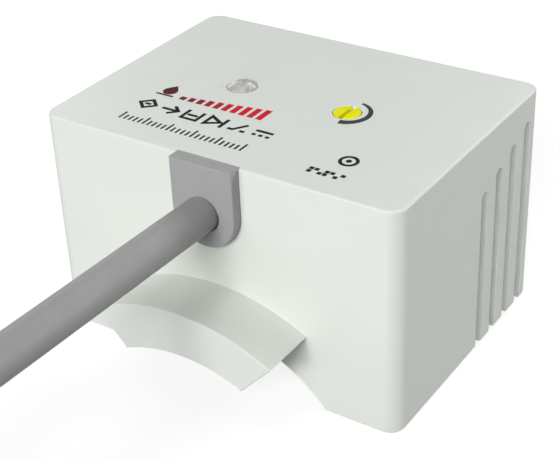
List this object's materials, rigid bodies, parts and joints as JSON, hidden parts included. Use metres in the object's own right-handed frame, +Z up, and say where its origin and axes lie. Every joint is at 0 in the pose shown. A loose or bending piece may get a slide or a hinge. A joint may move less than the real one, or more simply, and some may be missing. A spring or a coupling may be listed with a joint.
{
  "type": "proximity sensor",
  "caption": "Box-shaped capacitive level sensor that sits on a pipe with its arched underside, with tie lips, status lamp, screwdriver adjuster and a pre-wired cable.",
  "frame": {"origin": "middle of the underside of the two feet, halfway between the front and back walls", "axes": "+X to the right seen from the cable side, +Y from the cable side to the back and along the pipe, +Z up, away from the pipe"},
  "size_m": [0.048, 0.1472, 0.0204],
  "materials": {
    "housing_plastic": "fine satin moulded surface, very light grey",
    "grommet_plastic": "smooth moulded grey, satin",
    "cable_jacket": "smooth extruded grey, satin",
    "clear_plastic": "clear moulded lamp lens",
    "yellow_plastic": "bright yellow",
    "black_ink": "printed ink",
    "red_ink": "printed ink",
    "seal_rubber": "soft black",
    "blue_plastic": "moulded",
    "white_plastic": "moulded",
    "ceramic": "fired ceramic",
    "carbon_track": "printed film",
    "spring_brass": "bright",
    "tinned_steel": "tinned",
    "copper_foil": "copper foil, bright",
    "board_laminate": "solder mask, green",
    "black_epoxy": "moulded epoxy",
    "tantalum_resin": "moulded epoxy",
    "potting_resin": "cast resin",
    "solder": "bright",
    "brown_insulation": "extruded",
    "black_insulation": "extruded",
    "blue_insulation": "extruded",
    "tie_plastic": "plastic-coated wire"
  },
  "bodies": {
    "sensor": {"housing": "housing_plastic", "saddle_plate": "housing_plastic", "sensing_electrode": "copper_foil", "guard_electrode": "copper_foil", "electrode_leads": "tinned_steel", "trimmer_body": "blue_plastic", "trimmer_element": "ceramic", "resistive_track": "carbon_track", "trimmer_retainer": "tinned_steel", "trimmer_pins": "tinned_steel", "adjuster_seal": "seal_rubber", "status_lens": "clear_plastic", "status_led": "white_plastic", "circuit_board": "board_laminate", "controller_chip": "black_epoxy", "controller_leads": "tinned_steel", "voltage_regulator": "black_epoxy", "output_transistor": "black_epoxy", "protection_diodes": "black_epoxy", "tantalum_capacitor": "tantalum_resin", "ceramic_capacitors": "ceramic", "chip_resistors": "carbon_track", "cable_grommet": "grommet_plastic", "cable_crimp": "tinned_steel", "core_brown": "brown_insulation", "core_black": "black_insulation", "core_blue": "blue_insulation", "core_solder": "solder", "potting_resin": "potting_resin", "cable": "cable_jacket", "cable_coil": "cable_jacket", "coil_ties": "tie_plastic", "lead_brown": "brown_insulation", "lead_black": "black_insulation", "lead_blue": "blue_insulation", "lead_tips": "solder"},
    "adjuster": {"trimmer_rotor": "yellow_plastic", "trimmer_wiper": "spring_brass"}
  },
  "joints": [
    {"name": "sensitivity_adjust", "type": "hinge", "parent": "sensor", "child": "adjuster", "pos_m": [0.00515, 0, 0.018], "axis": [0, 0, 1], "range_deg": [-130, 130]}
  ]
}
